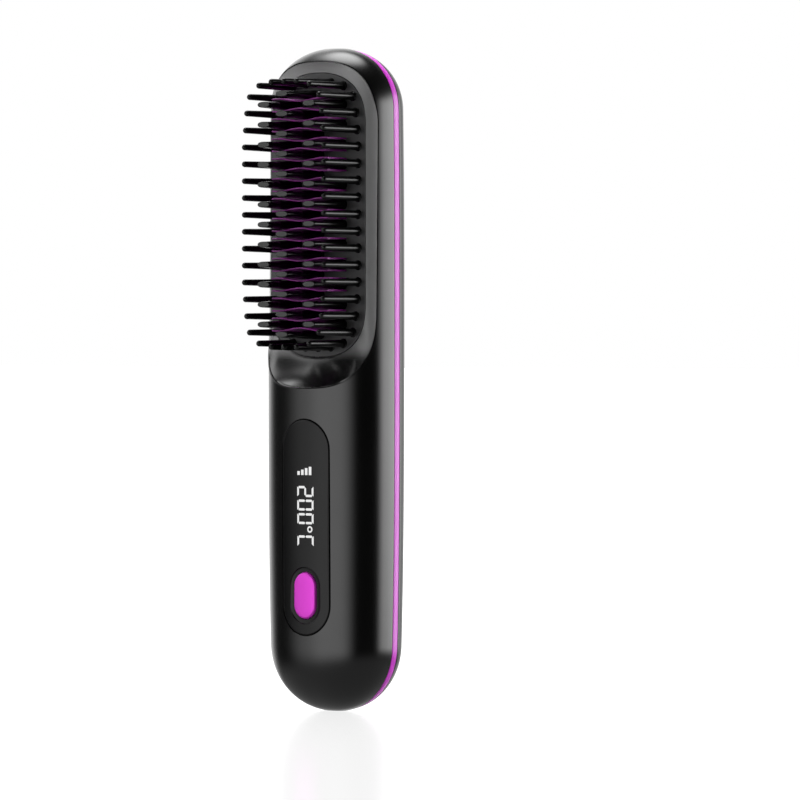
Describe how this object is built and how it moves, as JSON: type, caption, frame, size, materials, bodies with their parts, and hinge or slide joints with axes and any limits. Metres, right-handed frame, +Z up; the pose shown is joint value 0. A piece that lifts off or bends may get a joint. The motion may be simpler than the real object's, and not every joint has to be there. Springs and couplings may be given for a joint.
{
  "type": "cordless hair straightening brush",
  "caption": "Upright cordless straightening brush: rounded body, oval head with heated teeth in a ring of guard pins, lit display and push button.",
  "frame": {"origin": "middle of the small flat foot, on the surface it stands on", "axes": "+Z up along the body to the tip of the head, -Y the way the teeth, display and button face, +X across the body to the side that the picture shows"},
  "size_m": [0.045, 0.0404, 0.2],
  "materials": {
    "front_shell": "satin black moulded plastic",
    "rear_shell": "satin dark grey moulded plastic",
    "trim_band": "magenta anodised, satin",
    "head_frame": "dark grey, satin",
    "guard_comb": "black heat resistant plastic, semi gloss pins",
    "guard_pins": "glossy black",
    "heating_plate": "magenta anodised plate with wavy fins",
    "heating_teeth": "black heat resistant plastic with grey tips",
    "ceramic_heater": "plain",
    "mica_sheet": "mica",
    "insulation_pad": "glass fibre felt",
    "heater_holder": "heat resistant plastic",
    "thermistor": "bead",
    "thermal_fuse": "plain",
    "steel": "plain",
    "lead_white": "insulated wire",
    "lead_red": "insulated wire",
    "lead_black": "insulated wire",
    "display_panel": "smoked black panel",
    "digit_windows": "white light pipes, lit",
    "display_module": "white light box",
    "board": "green circuit board",
    "chip": "black package",
    "switch_plunger": "plain",
    "power_button": "satin magenta",
    "battery_cells": "sleeved steel cans",
    "cell_tabs": "nickel strip",
    "battery_holder": "plain"
  },
  "bodies": {
    "casing": {"front_shell": "front_shell", "rear_shell": "rear_shell", "trim_band": "trim_band", "head_frame": "head_frame", "guard_comb": "guard_comb", "guard_pins": "guard_pins", "heating_plate": "heating_plate", "heating_teeth": "heating_teeth", "ceramic_heater": "ceramic_heater", "mica_sheet": "mica_sheet", "insulation_pad": "insulation_pad", "heater_holder": "heater_holder", "thermistor": "thermistor", "thermal_fuse": "thermal_fuse", "heater_screws": "steel", "heater_leads": "lead_white", "display_panel": "display_panel", "digit_windows": "digit_windows", "display_module": "display_module", "circuit_board": "board", "control_chip": "chip", "power_transistors": "chip", "tact_switch": "chip", "board_screws": "steel", "battery_cells": "battery_cells", "cell_tabs": "cell_tabs", "battery_holder": "battery_holder", "battery_leads": "lead_red", "charging_board": "board", "charging_socket": "steel", "charging_leads": "lead_black", "shell_screws": "steel"},
    "button": {"power_button": "power_button"},
    "plunger": {"switch_plunger": "switch_plunger"}
  },
  "joints": [
    {"name": "button_press", "type": "slide", "parent": "casing", "child": "button", "axis": [0, 1, 0], "range_m": [0, 0.0005], "stiffness_N_per_m": 800},
    {"name": "plunger_press", "type": "slide", "parent": "casing", "child": "plunger", "axis": [0, 1, 0], "range_m": [0, 0.0005]}
  ],
  "couplings": [
    {"joint": "plunger_press", "follows": "button_press", "ratio": 1}
  ]
}
